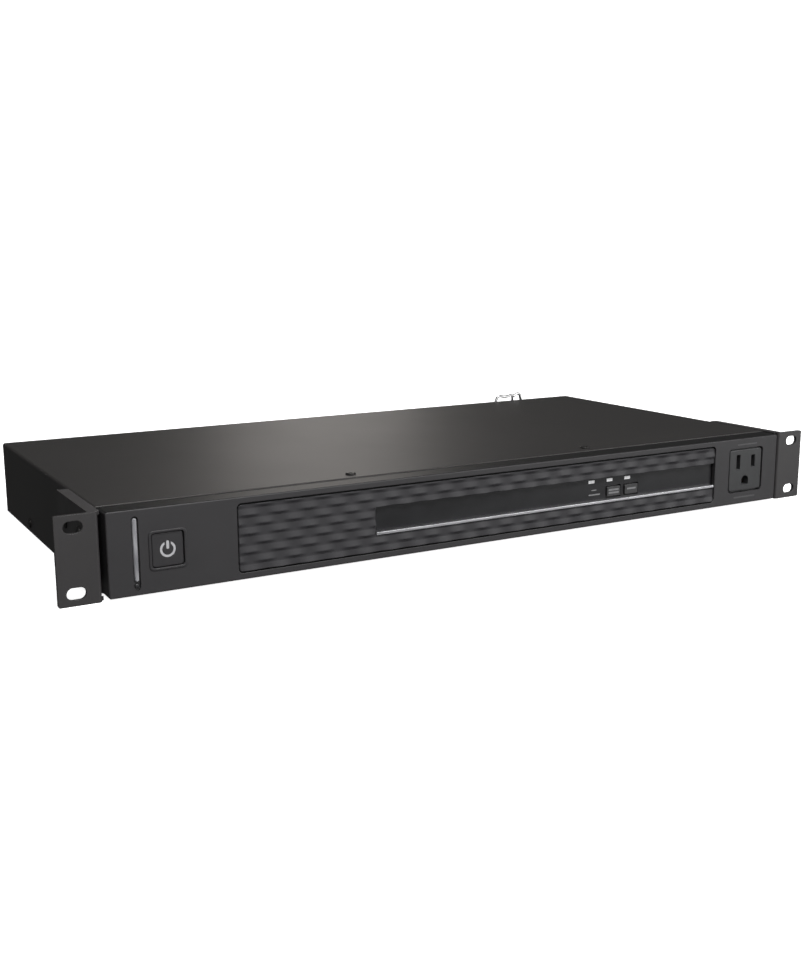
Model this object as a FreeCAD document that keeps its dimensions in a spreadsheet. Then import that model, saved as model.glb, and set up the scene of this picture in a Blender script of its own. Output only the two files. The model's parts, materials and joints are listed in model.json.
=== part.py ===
import FreeCAD, Part
import Sketcher
import math
import os
import re

# One-unit (1U) rack power strip, in millimetres.
# +X is to the right seen from the front, -Y is the front, +Z is up.
# The origin is the centre of the rack hole pattern, on the rear (mounting) face of the ears.

doc = FreeCAD.newDocument("rack_power_strip")

# ---------------------------------------------------------------- driving dimensions

DIMENSIONS = [
    ("rack_width", 482.6, "overall width across the ears, EIA-310"),
    ("rack_height", 43.6, "height of one rack unit panel"),
    ("hole_spacing_x", 465.1, "between the left and right rack slots"),
    ("hole_spacing_z", 31.75, "between the outer slots of one unit"),
    ("slot_length", 9.3, "rack slot, end to end"),
    ("slot_height", 6.0, "rack slot, width of the slot"),
    ("ear_sheet", 2.0, "thickness of the ears"),
    ("ear_outside", 225.0, "half width over the side legs of the ears"),
    ("ear_leg", 58.0, "how far a side leg reaches behind the ear"),
    ("ear_inside", 220.6, "half width between the ears' inner edges"),
    ("ear_bend", 1.6, "outer radius of an ear's inner edge"),
    ("case_half", 219.4, "half width of the case"),
    ("cover_sheet", 1.0, "thickness of the top cover"),
    ("base_sheet", 1.2, "thickness of the base"),
    ("case_front", 10.0, "front face of the base's front wall"),
    ("case_back", 218.5, "rear face of the case"),
    ("case_top", 21.8, "top face of the cover"),
    ("case_bottom", -21.2, "bottom face of the base"),
    ("fit_gap", 0.2, "gap between nested sheets"),
    ("bezel_half", 217.9, "half width of the fascia"),
    ("bezel_top", 21.3, "top of the fascia"),
    ("bezel_bottom", -20.8, "bottom of the fascia"),
    ("bezel_front", -3.5, "front face of the fascia"),
    ("bezel_edge", 0.7, "radius of the fascia's front edges"),
    ("bezel_wall", 2.5, "thickness of the fascia's front"),
    ("rim_wall", 2.0, "thickness of the fascia's rims"),
    ("board_sheet", 1.6, "thickness of a circuit board"),
    ("front_board", 7.4, "front face of the two boards behind the fascia"),
    ("panel_face", -2.3, "front face of the textured panel's sheet"),
    ("panel_left", -152.7, "left end of the panel recess"),
    ("panel_right", 165.0, "right end of the panel recess"),
    ("panel_top", 18.0, "top of the panel recess"),
    ("panel_bottom", -17.4, "bottom of the panel recess"),
    ("display_face", -0.9, "front face of the display strip"),
    ("display_left", -74.8, "left end of the display strip"),
    ("display_top", 7.3, "top of the display strip"),
    ("trim_bottom", -8.0, "bottom of the bright trim line"),
    ("trim_top", -6.3, "top of the bright trim line"),
    ("power_x", -188.4, "centre of the power button"),
    ("power_travel", 2.0, "travel of the power button"),
    ("light_x", -204.1, "centre of the light bar"),
    ("light_bar_z", 1.4, "height of the light bar's middle"),
    ("light_pip_z", -16.1, "height of the round light below the bar"),
    ("indicator_x", 69.6, "centre of the first indicator window"),
    ("indicator_pitch", 13.45, "from one indicator to the next"),
    ("indicator_z", 5.1, "height of the indicator windows"),
    ("key_z", -1.9, "height of the two small buttons"),
    ("key_travel", 0.5, "travel of the two small buttons"),
    ("key_gap", 0.8, "between a small button and the display strip"),
    ("front_outlet_y", -3.3, "face of the front outlet"),
    ("rear_outlet_y", 222.2, "face of the rear outlets"),
    ("outlet_x", 191.2, "centre of the front outlet"),
    ("outlet_face_z", 0.9, "height of an outlet's face centre"),
    ("blade_spacing", 12.7, "between the blade slots, NEMA 5-15R"),
    ("ground_drop", 11.9, "ground hole below the blade slots, NEMA 5-15R"),
    ("blade_z", 6.2, "height of the blade slots"),
    ("blade_slot", 3.2, "width of a blade slot"),
    ("rear_outlet_x", -184.0, "centre of the first rear outlet"),
    ("rear_outlet_pitch", 38.0, "from one rear outlet to the next"),
    ("inlet_x", 166.0, "centre of the power inlet"),
    ("inlet_screw_x", 20.0, "inlet flange screws either side of its centre"),
    ("bail_pivot_y", 225.0, "pivot of the retention bail, behind the origin"),
    ("bail_wire_r", 1.0, "half the thickness of the bail wire"),
    ("breaker_x", 122.0, "centre of the circuit breaker"),
    ("breaker_travel", 4.0, "how far the breaker button pops out"),
    ("stud_x", 206.0, "centre of the ground stud"),
    ("stud_z", -8.0, "height of the ground stud"),
    ("floor_z", -20.0, "inner face of the base's bottom"),
    ("surge_board_z", -14.0, "underside of the surge board"),
]

sheet = doc.addObject("Spreadsheet::Sheet", "dims")
sheet.set("A1", "alias")
sheet.set("B1", "value")
sheet.set("C1", "meaning")
for row, (alias, value, meaning) in enumerate(DIMENSIONS, start=2):
    sheet.set(f"A{row}", alias)
    sheet.set(f"B{row}", str(value))
    sheet.set(f"C{row}", meaning)
    sheet.setAlias(f"B{row}", alias)
doc.recompute()

VALUES = {alias: value for alias, value, _ in DIMENSIONS}
NODES = []


def d(text):
    """Write sheet aliases in an expression with the sheet's name before them."""
    return re.sub(r"[a-z_]+", lambda word: f"<<dims>>.{word[0]}" if word[0] in VALUES else word[0], text)


def v(alias):
    """The value of a sheet cell, for the few shapes made by code."""
    return float(sheet.get(alias))


def number(size):
    """A size as a number, whether it is one already or the alias of a cell."""
    return v(size) if size in VALUES else float(size)


def bind(item, **settings):
    """Bind properties to expressions; the names x, y and z mean the placement's base."""
    for name, expression in settings.items():
        path = f"Placement.Base.{name}" if name in "xyz" else name
        item.setExpression(path, d(str(expression)))
    return item


def node(item, label):
    """Mark an object as a sub-part: its label is the name of its file."""
    item.Label = label
    NODES.append(item)
    return item


# ---------------------------------------------------------------- sketches and solids

PLANES = {"XZ": "XZ_Plane", "XY": "XY_Plane", "YZ": "YZ_Plane"}


def body(label):
    return node(doc.addObject("PartDesign::Body", label), label)


def sketch(owner, plane, x="0", y="0", z="0"):
    """A sketch on one of the body's own planes, moved so that its origin is at x, y, z."""
    flat = owner.newObject("Sketcher::SketchObject", "Sketch")
    role = PLANES[plane]
    origin_plane = next(f for f in owner.Origin.OriginFeatures if f.Role == role)
    flat.AttachmentSupport = (origin_plane, [""])
    flat.MapMode = "FlatFace"
    across, up, out = {"XZ": (x, z, f"-({y})"), "XY": (x, y, z), "YZ": (y, z, x)}[plane]
    flat.setExpression("AttachmentOffset.Base.x", d(str(across)))
    flat.setExpression("AttachmentOffset.Base.y", d(str(up)))
    flat.setExpression("AttachmentOffset.Base.z", d(str(out)))
    return flat


def measure(flat, kind, *where, to, drawn=1.0):
    """A dimension bound to an expression; the size as drawn keeps the solver on the right branch."""
    index = flat.addConstraint(Sketcher.Constraint(kind, *where, drawn))
    flat.setExpression(f"Constraints[{index}]", d(str(to)))


def rectangle(flat, width, height):
    """A rectangle centred on the sketch's origin."""
    corners = [FreeCAD.Vector(sx, sy, 0) for sx, sy in ((-5, -5), (5, -5), (5, 5), (-5, 5))]
    for i in range(4):
        flat.addGeometry(Part.LineSegment(corners[i], corners[(i + 1) % 4]), False)
    for i in range(4):
        flat.addConstraint(Sketcher.Constraint("Coincident", i, 2, (i + 1) % 4, 1))
    for i, kind in enumerate(("Horizontal", "Vertical", "Horizontal", "Vertical")):
        flat.addConstraint(Sketcher.Constraint(kind, i))
    flat.addConstraint(Sketcher.Constraint("Symmetric", 0, 1, 2, 1, -1, 1))
    measure(flat, "DistanceX", 0, 1, 0, 2, to=width)
    measure(flat, "DistanceY", 1, 1, 1, 2, to=height)


def circle(flat, radius):
    """A circle on the sketch's origin."""
    flat.addGeometry(Part.Circle(FreeCAD.Vector(0, 0, 0), FreeCAD.Vector(0, 0, 1), 1.0), False)
    flat.addConstraint(Sketcher.Constraint("Coincident", 0, 3, -1, 1))
    measure(flat, "Radius", 0, to=radius)


def stadium(flat, length, width, upright=False):
    """A slot with round ends, centred on the sketch's origin."""
    up = FreeCAD.Vector(0, 0, 1)
    turn = math.pi / 2 if upright else 0.0
    radius = number(width) / 2
    along = FreeCAD.Vector(math.cos(turn), math.sin(turn), 0) * (number(length) / 2 - radius)
    side = FreeCAD.Vector(-math.sin(turn), math.cos(turn), 0) * radius
    right = Part.ArcOfCircle(Part.Circle(along, up, radius), turn - math.pi / 2, turn + math.pi / 2)
    left = Part.ArcOfCircle(Part.Circle(-along, up, radius), turn + math.pi / 2, turn + 1.5 * math.pi)
    top = Part.LineSegment(along + side, -along + side)
    bottom = Part.LineSegment(-along - side, along - side)
    for piece in (right, top, left, bottom):
        flat.addGeometry(piece, False)
    for first, second in ((0, 1), (1, 2), (2, 3), (3, 0)):
        flat.addConstraint(Sketcher.Constraint("Tangent", first, 2, second, 1))
    flat.addConstraint(Sketcher.Constraint("Vertical" if upright else "Horizontal", 1))
    flat.addConstraint(Sketcher.Constraint("Symmetric", 0, 3, 2, 3, -1, 1))
    distance = "DistanceY" if upright else "DistanceX"
    measure(flat, "Radius", 0, to=f"({width}) / 2", drawn=radius)
    measure(flat, distance, 2, 3, 0, 3, to=f"({length}) - ({width})", drawn=2 * along.Length)


def pad(owner, flat, depth):
    """Material from the sketch backwards, against the sketch's own direction."""
    feature = owner.newObject("PartDesign::Pad", "Pad")
    feature.Profile = flat
    feature.Reversed = True
    feature.setExpression("Length", d(str(depth)))
    owner.Tip = feature
    return feature


def pocket(owner, flat, depth):
    """Cut from the sketch backwards, against the sketch's own direction."""
    feature = owner.newObject("PartDesign::Pocket", "Pocket")
    feature.Profile = flat
    feature.setExpression("Length", d(str(depth)))
    owner.Tip = feature
    return feature


def upright_stadium(flat, length, width):
    stadium(flat, length, width, upright=True)


OUTLINES = {"box": rectangle, "round": circle, "slot": stadium, "upright slot": upright_stadium}


def outline(flat, shape, sizes):
    OUTLINES[shape](flat, *sizes)


def grow(owner, plane, shape, sizes, at, depth):
    flat = sketch(owner, plane, *at)
    outline(flat, shape, sizes)
    return pad(owner, flat, depth)


def carve(owner, plane, shape, sizes, at, depth):
    flat = sketch(owner, plane, *at)
    outline(flat, shape, sizes)
    return pocket(owner, flat, depth)


def carve_through(owner, plane, shape, sizes, at):
    """Cut right through the body, both ways from the sketch."""
    feature = carve(owner, plane, shape, sizes, at, "0")
    feature.Type = 1
    feature.Midplane = True
    return feature


def edges_where(feature, test):
    """Names of a feature's edges whose end points pass a test; a full circle has one, met twice."""
    names = []
    for position, edge in enumerate(feature.Shape.Edges, start=1):
        ends = [vertex.Point for vertex in edge.Vertexes]
        if ends and test(ends[0], ends[-1]):
            names.append(f"Edge{position}")
    return names


def soften(owner, kind, size, test):
    """Fillet or chamfer the edges of the body's tip that pass a test."""
    doc.recompute()
    base = owner.Tip
    feature = owner.newObject(f"PartDesign::{kind}", kind)
    feature.Base = (base, edges_where(base, test))
    feature.setExpression("Radius" if kind == "Fillet" else "Size", d(str(size)))
    owner.Tip = feature
    return feature


def lying(axis, *places):
    """A test for edges that run along one axis and lie at the given places.

    A place is (axis letter, coordinate); an absolute coordinate is marked with a capital letter.
    """
    index = "xyz".index(axis)

    def test(first, second):
        step = second - first
        for other in range(3):
            if other != index and abs(step[other]) > 1e-6:
                return False
        if abs(step[index]) < 1e-6:
            return False
        for letter, coordinate in places:
            found = first["xyz".index(letter.lower())]
            if letter.isupper():
                found = abs(found)
            if abs(found - coordinate) > 1e-3:
                return False
        return True

    return test


def rim_at(y, left=-1000.0, right=1000.0):
    """A test for the edges of a face in the plane at y, between two places across."""
    def test(first, second):
        in_plane = abs(first.y - y) < 1e-5 and abs(second.y - y) < 1e-5
        return in_plane and left < min(first.x, second.x) and max(first.x, second.x) < right

    return test


# ---------------------------------------------------------------- plain pieces

def block(sizes, at):
    """A box with its lowest corner at a place."""
    solid = doc.addObject("Part::Box", "Block")
    length, width, height = sizes
    return bind(solid, Length=length, Width=width, Height=height, x=at[0], y=at[1], z=at[2])


TURNS = {
    "x": FreeCAD.Rotation(FreeCAD.Vector(0, 1, 0), 90),
    "-x": FreeCAD.Rotation(FreeCAD.Vector(0, 1, 0), -90),
    "y": FreeCAD.Rotation(FreeCAD.Vector(1, 0, 0), -90),
    "-y": FreeCAD.Rotation(FreeCAD.Vector(1, 0, 0), 90),
    "z": FreeCAD.Rotation(),
    "-z": FreeCAD.Rotation(FreeCAD.Vector(1, 0, 0), 180),
}


def rod(radius, length, at, axis="z"):
    """A cylinder that starts at a place and runs along an axis."""
    solid = doc.addObject("Part::Cylinder", "Rod")
    solid.Placement.Rotation = TURNS[axis]
    return bind(solid, Radius=radius, Height=length, x=at[0], y=at[1], z=at[2])


def cone(first, second, length, at, axis="z"):
    solid = doc.addObject("Part::Cone", "Cone")
    solid.Placement.Rotation = TURNS[axis]
    return bind(solid, Radius1=first, Radius2=second, Height=length, x=at[0], y=at[1], z=at[2])


def prism(radius, length, at, axis="z"):
    """A hexagonal bar; the radius is to its corners."""
    solid = doc.addObject("Part::Prism", "Hexagon")
    solid.Polygon = 6
    solid.Placement.Rotation = TURNS[axis]
    return bind(solid, Circumradius=radius, Height=length, x=at[0], y=at[1], z=at[2])


def joined(*pieces):
    if len(pieces) == 1:
        return pieces[0]
    solid = doc.addObject("Part::MultiFuse", "Joined")
    solid.Shapes = list(pieces)
    return solid


def less(base, *tools):
    solid = doc.addObject("Part::Cut", "Less")
    solid.Base = base
    solid.Tool = joined(*tools)
    return solid


def group(label, pieces):
    """Separate solids that share one node."""
    solids = doc.addObject("Part::Compound", label)
    solids.Links = pieces
    return node(solids, label)


BACK = {"x": "-x", "-x": "x", "y": "-y", "-y": "y", "z": "-z", "-z": "z"}


def cross_recess(at, axis, reach, width, depth):
    """Two crossed bars that sink into a screw's head from a place on its top."""
    along = "xyz".index(axis[-1])
    sides = [index for index in range(3) if index != along]
    bars = []
    for long_side in sides:
        sizes = [width, width, width]
        sizes[along] = depth
        sizes[long_side] = 2 * reach
        corner = [f"({place}) - {size} / 2" for place, size in zip(at, sizes)]
        corner[along] = f"({at[along]}) - {depth}" if axis[0] != "-" else str(at[along])
        bars.append(block(sizes, corner))
    return bars


def pan_screw(at, axis, head_r, head, shank_r, shank):
    """A cross-recessed screw: the head stands on a place and the shank runs the other way."""
    lower = head * 0.5
    shoulder = moved(at, axis, lower)
    screw = joined(rod(head_r, lower, at, axis),
                   cone(head_r, head_r * 0.78, head - lower, shoulder, axis),
                   rod(shank_r, shank, at, BACK[axis]))
    return less(screw, *cross_recess(moved(at, axis, head), axis, head_r * 0.55, head_r * 0.24, head * 0.6))


def moved(at, axis, distance):
    """A place shifted along an axis by a plain distance."""
    index = "xyz".index(axis[-1])
    sign = "-" if axis[0] == "-" else "+"
    place = list(at)
    place[index] = f"({at[index]}) {sign} ({distance})"
    return tuple(place)


# ---------------------------------------------------------------- case

LEG_SCREWS = [(18.0, 8.2), (18.0, -8.2), (44.0, 8.2), (44.0, -8.2)]
SIDE_SCREW = (154.0, -16.0)
TOP_SCREW_X = 79.0
TOP_SCREW_Y = 18.0
LEG_HOLE_R = 2.05
SIDE_HOLE_R = 1.6
TOP_HOLE_R = 1.6
BEZEL_SCREWS = [(x, z) for x in (-213.0, -165.0, 213.0) for z in (-13.0, 13.0)]
BEZEL_HOLE_R = 1.6
REAR_OUTLETS = 8


def chassis_base():
    """Folded tray: bottom, front wall, rear wall and two side flanges."""
    tray = body("chassis_base")
    half = "(case_half - cover_sheet - fit_gap)"
    top = "(case_top - cover_sheet - fit_gap)"
    depth = "(case_back - case_front)"
    grow(tray, "XY", "box", (f"2 * {half}", depth), ("0", "(case_front + case_back) / 2", top),
         f"{top} - case_bottom")
    soften(tray, "Fillet", "base_sheet", lying("y", ("X", v("case_half") - 1.2), ("z", v("case_bottom"))))
    carve(tray, "XY", "box", (f"2 * {half} - 2 * base_sheet", f"{depth} - 2 * base_sheet"),
          ("0", "(case_front + case_back) / 2", top), f"{top} - floor_z")
    # The side flanges are tall only where the ears bolt on, and low behind them.
    carve_through(tray, "YZ", "box", ("156", "30"), ("60 + 156 / 2", "-9 + 30 / 2", "0"))
    carve_through(tray, "YZ", "box", ("48.8", "10"),
                  ("case_front + base_sheet + 48.8 / 2", "13.4 + 10 / 2", "0"))
    # Folded lip at the top of the front wall, for the cover's two screws.
    grow(tray, "XY", "box", ("2 * 200", "16"), ("0", "case_front + 8", top), "base_sheet")
    for side in (-1, 1):
        carve(tray, "XY", "round", (TOP_HOLE_R,), (side * TOP_SCREW_X, TOP_SCREW_Y, top), "base_sheet")
    for y, z in LEG_SCREWS + [SIDE_SCREW]:
        radius = SIDE_HOLE_R if (y, z) == SIDE_SCREW else LEG_HOLE_R
        carve_through(tray, "YZ", "round", (radius,), ("0", y, z))
    # Front wall: clear of the power switch, the display board and the front outlet.
    front = "case_front"
    for x, z, width, height in ((-189.0, 0.0, 38.0, 31.0), (6.0, 0.0, 312.0, 31.0),
                                ("outlet_x", "outlet_face_z", 31.4, 31.4)):
        carve(tray, "XZ", "box", (width, height), (x, front, z), "base_sheet")
    for x, z in BEZEL_SCREWS:
        carve(tray, "XZ", "round", (BEZEL_HOLE_R,), (x, front, z), "base_sheet")
    # Rear wall: eight outlets, the inlet, the breaker and the ground stud.
    rear = "case_back - base_sheet"
    for index in range(REAR_OUTLETS):
        carve(tray, "XZ", "box", (31.4, 31.4),
              (f"rear_outlet_x + {index} * rear_outlet_pitch", rear, "outlet_face_z"), "base_sheet")
    carve(tray, "XZ", "box", (28.0, 21.0), ("inlet_x", rear, "0"), "base_sheet")
    for side in (-1, 1):
        carve(tray, "XZ", "round", (1.6,), (f"inlet_x + {side} * inlet_screw_x", rear, "0"), "base_sheet")
    carve(tray, "XZ", "round", (5.6,), ("breaker_x", rear, "0"), "base_sheet")
    carve(tray, "XZ", "round", (2.05,), ("stud_x", rear, "stud_z"), "base_sheet")
    return tray


def top_cover():
    """Folded U: the top and both side walls, with soft outer bends and a soft front edge."""
    cover = body("top_cover")
    start = "case_front"
    grow(cover, "XZ", "box", ("2 * case_half", "case_top - case_bottom"),
         ("0", start, "(case_top + case_bottom) / 2"), f"case_back - ({start})")
    soften(cover, "Fillet", "1.5", lying("y", ("X", v("case_half")), ("z", v("case_top"))))
    soften(cover, "Fillet", "0.4", lying("x", ("z", v("case_top")), ("y", v("case_front"))))
    carve(cover, "XZ", "box", ("2 * case_half - 2 * cover_sheet", "60"),
          ("0", start, "case_top - cover_sheet - 30"), "case_back")
    soften(cover, "Fillet", "0.5", lying("y", ("X", v("case_half") - 1.0), ("z", v("case_top") - 1.0)))
    for side in (-1, 1):
        carve(cover, "XY", "round", (TOP_HOLE_R,), (side * TOP_SCREW_X, TOP_SCREW_Y, "case_top"),
              "cover_sheet")
    for y, z in LEG_SCREWS + [SIDE_SCREW]:
        radius = SIDE_HOLE_R if (y, z) == SIDE_SCREW else LEG_HOLE_R
        carve_through(cover, "YZ", "round", (radius,), ("0", y, z))
    return cover


def rack_ears():
    """Slotted ears. Each side leg is a shallow channel that stands off the case."""
    ear = body("rack_ear_right")
    front = "-ear_sheet"
    grow(ear, "XZ", "box", ("rack_width / 2 - case_half", "rack_height"),
         ("(rack_width / 2 + case_half) / 2", front, "0"), "ear_sheet")
    leg = "(ear_outside - case_half)"
    grow(ear, "XZ", "box", (leg, "rack_height"), (f"case_half + {leg} / 2", front, "0"),
         "ear_leg + ear_sheet")
    carve(ear, "XZ", "box", (f"{leg} - ear_sheet", "rack_height - 2 * ear_sheet"),
          (f"case_half + ({leg} - ear_sheet) / 2", "0.8", "0"), "ear_leg")
    for y, z in LEG_SCREWS:
        grow(ear, "YZ", "round", ("4.5",), ("ear_outside - ear_sheet", y, z), f"{leg} - ear_sheet")
    for y, z in LEG_SCREWS:
        carve(ear, "YZ", "round", (LEG_HOLE_R,), ("ear_outside", y, z), leg)
    # Relief behind the lower slot, through the leg's side and its underside.
    carve(ear, "YZ", "box", ("38", "5.8"), ("ear_outside", "2 + 38 / 2", "(5.8 - rack_height) / 2"), leg)
    # The ear's front stops short of the leg's inner side, which leaves a gap beside the fascia.
    carve(ear, "XZ", "box", ("ear_inside - case_half", "rack_height"),
          ("(ear_inside + case_half) / 2", front, "0"), "ear_sheet + 0.8")
    for side in (-1, 1):
        carve(ear, "XZ", "slot", ("slot_length", "slot_height"),
              ("hole_spacing_x / 2", front, f"{side} * hole_spacing_z / 2"), "ear_sheet")
    soften(ear, "Fillet", "1.2", lying("y", ("x", v("rack_width") / 2)))
    soften(ear, "Fillet", "ear_bend", lying("z", ("x", v("ear_inside")), ("y", -v("ear_sheet"))))
    doc.recompute()
    mirrored = doc.addObject("Part::Mirroring", "rack_ear_left")
    mirrored.Source = ear
    mirrored.Normal = FreeCAD.Vector(1, 0, 0)
    node(mirrored, "rack_ear_left")


def case_screws():
    ear_screws = []
    side_screws = []
    for side in (-1, 1):
        axis = "x" if side > 0 else "-x"
        for y, z in LEG_SCREWS:
            # The head sits in the leg's outer face, just proud of it.
            at = (f"{side} * ear_outside", y, z)
            ear_screws.append(pan_screw(at, axis, 3.4, 1.1, 1.95, 10.5))
        y, z = SIDE_SCREW
        side_screws.append(pan_screw((f"{side} * case_half", y, z), axis, 2.8, 1.0, 1.5, 5.0))
    group("ear_screws", ear_screws)
    top_screws = [pan_screw((side * TOP_SCREW_X, TOP_SCREW_Y, "case_top"), "z", 2.8, 1.0, 1.5, 5.0)
                  for side in (-1, 1)]
    group("cover_screws", side_screws + top_screws)
    group("bezel_screws", [
        pan_screw((x, "case_front + base_sheet", z), "y", 2.8, 1.8, 1.35, 8.0)
        for x, z in BEZEL_SCREWS])


# ---------------------------------------------------------------- fascia

POWER_POSTS = [(-195.0, 14.6), (-195.0, -14.6), (-174.4, 11.0), (-174.4, -11.0)]
DISPLAY_POSTS = [(x, z) for x in (-60.0, 45.0, 150.0) for z in (-12.2, 12.2)]


def front_bezel():
    """Moulded fascia: a front with rims, bosses for its screws and posts for the power board."""
    bezel = body("front_bezel")
    width = "2 * bezel_half"
    height = "(bezel_top - bezel_bottom)"
    middle = "(bezel_top + bezel_bottom) / 2"
    grow(bezel, "XZ", "box", (width, height), ("0", "bezel_front", middle), "case_front - bezel_front")
    soften(bezel, "Fillet", "1.2", lying("y", ("X", v("bezel_half"))))
    soften(bezel, "Fillet", "bezel_edge", rim_at(v("bezel_front")))
    inner = "bezel_front + bezel_wall"
    carve(bezel, "XZ", "box", (f"{width} - 2 * rim_wall", f"{height} - 2 * rim_wall"),
          ("0", inner, middle), f"case_front - ({inner})")
    for x, z in BEZEL_SCREWS:
        grow(bezel, "XZ", "round", (3.0,), (x, inner, z), f"case_front - ({inner})")
        carve(bezel, "XZ", "round", (1.45,), (x, "3", z), "case_front - 3")
    for x, z in POWER_POSTS:
        grow(bezel, "XZ", "round", (2.0,), (x, inner, z), f"front_board - ({inner})")
        carve(bezel, "XZ", "round", (0.85,), (x, "3", z), "front_board - 3")
    # Recess for the textured panel.
    carve(bezel, "XZ", "box", ("panel_right - panel_left", "panel_top - panel_bottom"),
          ("(panel_left + panel_right) / 2", "bezel_front", "(panel_top + panel_bottom) / 2"), "bezel_wall")
    for level in ("panel_top", "panel_bottom"):
        soften(bezel, "Fillet", "2.4", lying("y", ("z", v(level)), ("y", v("bezel_front"))))
    soften(bezel, "Fillet", "0.3", rim_at(v("bezel_front"), v("panel_left") - 0.1, v("panel_right") + 0.1))
    # Seat of the power button's frame and the openings of the outlet and the light bar.
    carve(bezel, "XZ", "box", (18.2, 18.8), ("power_x", "bezel_front", "0"), "bezel_wall")
    soften(bezel, "Fillet", "1.9", lying("y", ("Z", 9.4)))
    carve(bezel, "XZ", "box", (29.0, 28.2), ("outlet_x", "bezel_front", "outlet_face_z"), "bezel_wall")
    for side in (-1, 1):
        soften(bezel, "Fillet", "2.4", lying("y", ("z", v("outlet_face_z") + side * 14.1)))
    # A shallow groove for the lights, and a slot and a round hole right through it.
    carve(bezel, "XZ", "upright slot", (36.0, 3.4), ("light_x", "bezel_front", "-0.1"), "1.2")
    carve(bezel, "XZ", "upright slot", (31.4, 2.5), ("light_x", "bezel_front", "light_bar_z"), "bezel_wall")
    carve(bezel, "XZ", "round", (1.15,), ("light_x", "bezel_front", "light_pip_z"), "bezel_wall")
    return bezel


def textured_panel():
    """Insert behind the recess, with a notch for the display strip and posts for its board."""
    panel = body("textured_panel")
    gap = 0.4
    middle_x = "(panel_left + panel_right) / 2"
    middle_z = "(panel_top + panel_bottom) / 2"
    grow(panel, "XZ", "box",
         (f"panel_right - panel_left - 2 * {gap}", f"panel_top - panel_bottom - 2 * {gap}"),
         (middle_x, "panel_face", middle_z), "bezel_front + bezel_wall - panel_face")
    soften(panel, "Fillet", "2.0", lying("y"))
    grow(panel, "XZ", "box", ("panel_right - panel_left + 4", "panel_top - panel_bottom + 2"),
         (middle_x, "bezel_front + bezel_wall", middle_z), "1")
    notch_right = f"(panel_right - {gap})"
    carve(panel, "XZ", "box", (f"{notch_right} - display_left", "display_top - trim_bottom"),
          (f"({notch_right} + display_left) / 2", "bezel_front", "(display_top + trim_bottom) / 2"), "4")
    for x, z in DISPLAY_POSTS:
        grow(panel, "XZ", "round", (2.0,), (x, "0", z), "front_board")
        carve(panel, "XZ", "round", (0.85,), (x, "2", z), "front_board - 2")
    return panel


KEY_WIDTH = 9.8
KEY_HEIGHT = 5.8


def display_parts():
    """Recessed dark strip, its bright trim, the light pipes and the two small buttons."""
    window = body("display_window")
    right = "(panel_right - 0.7)"
    left = "(display_left + 0.3)"
    top = "(display_top - 0.2)"
    bottom = "(trim_top + 0.1)"
    grow(window, "XZ", "box", (f"{right} - {left}", f"{top} - {bottom}"),
         (f"({right} + {left}) / 2", "display_face", f"({top} + {bottom}) / 2"), "-display_face")
    grow(window, "XZ", "box", (f"{right} - {left} + 4", f"{top} - {bottom} + 5"),
         (f"({right} + {left}) / 2", "0", f"({top} + {bottom}) / 2 - 0.3"), "1")
    for index in range(3):
        carve(window, "XZ", "box", (4.5, 1.9),
              (f"indicator_x + {index} * indicator_pitch", "display_face", "indicator_z"), "6")
    for index in (1, 2):
        carve(window, "XZ", "box", (f"{KEY_WIDTH} + 2 * key_gap", f"{KEY_HEIGHT} + 2 * key_gap"),
              (key_x(index), "display_face", "key_z"), "6")

    trim = body("trim_strip")
    grow(trim, "XZ", "box", ("panel_right - display_left - 0.5", "trim_top - trim_bottom - 0.1"),
         ("(panel_right + display_left - 0.5) / 2 + 0.05", "bezel_front + 0.3",
          "(trim_top + trim_bottom) / 2"), "-(bezel_front + 0.3)")
    soften(trim, "Fillet", "0.3", lying("x", ("y", v("bezel_front") + 0.3)))

    pipes = []
    lamps = []
    switches = []
    for index in range(3):
        x = f"indicator_x + {index} * indicator_pitch"
        pipes.append(block((4.3, 5.7, 1.7), (f"{x} - 2.15", "display_face - 0.1", "indicator_z - 0.85")))
        lamps.append(block((3.2, 1.4, 1.6), (f"{x} - 1.6", "front_board - 1.4", "indicator_z - 0.8")))
    for index, label in ((1, "mode_button"), (2, "reset_button")):
        x = key_x(index)
        key = body(label)
        grow(key, "XZ", "box", (KEY_WIDTH, KEY_HEIGHT), (x, "display_face - 0.8", "key_z"), "3.1")
        soften(key, "Fillet", "0.6", lying("y"))
        soften(key, "Fillet", "0.3", rim_at(v("display_face") - 0.8))
        grow(key, "XZ", "box", (KEY_WIDTH + 2.4, KEY_HEIGHT + 2.4), (x, "1.3", "key_z"), "0.8")
        grow(key, "XZ", "round", (1.5,), (x, "2", "key_z"), "2.4")
        switches.append(less(block((6, 3.4, 6), (f"{x} - 3", "front_board - 3.4", "key_z - 3")),
                             rod(1.8, "key_travel + 1.7", (x, "front_board - 3.4", "key_z"), "y")))
    group("status_light_pipes", pipes)
    lamps += [block((3.0, 1.6, 1.6), ("light_x - 1.5", "front_board - 1.6", z)) for z in (-10.8, -0.8, 9.2)]
    group("indicator_leds", lamps)
    group("tact_switches", switches)


def key_x(index):
    """Centre of a small button: its left edge lines up with its indicator's left edge."""
    return f"indicator_x + {index} * indicator_pitch - 2.25 + 0.15 + 4.9"


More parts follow.
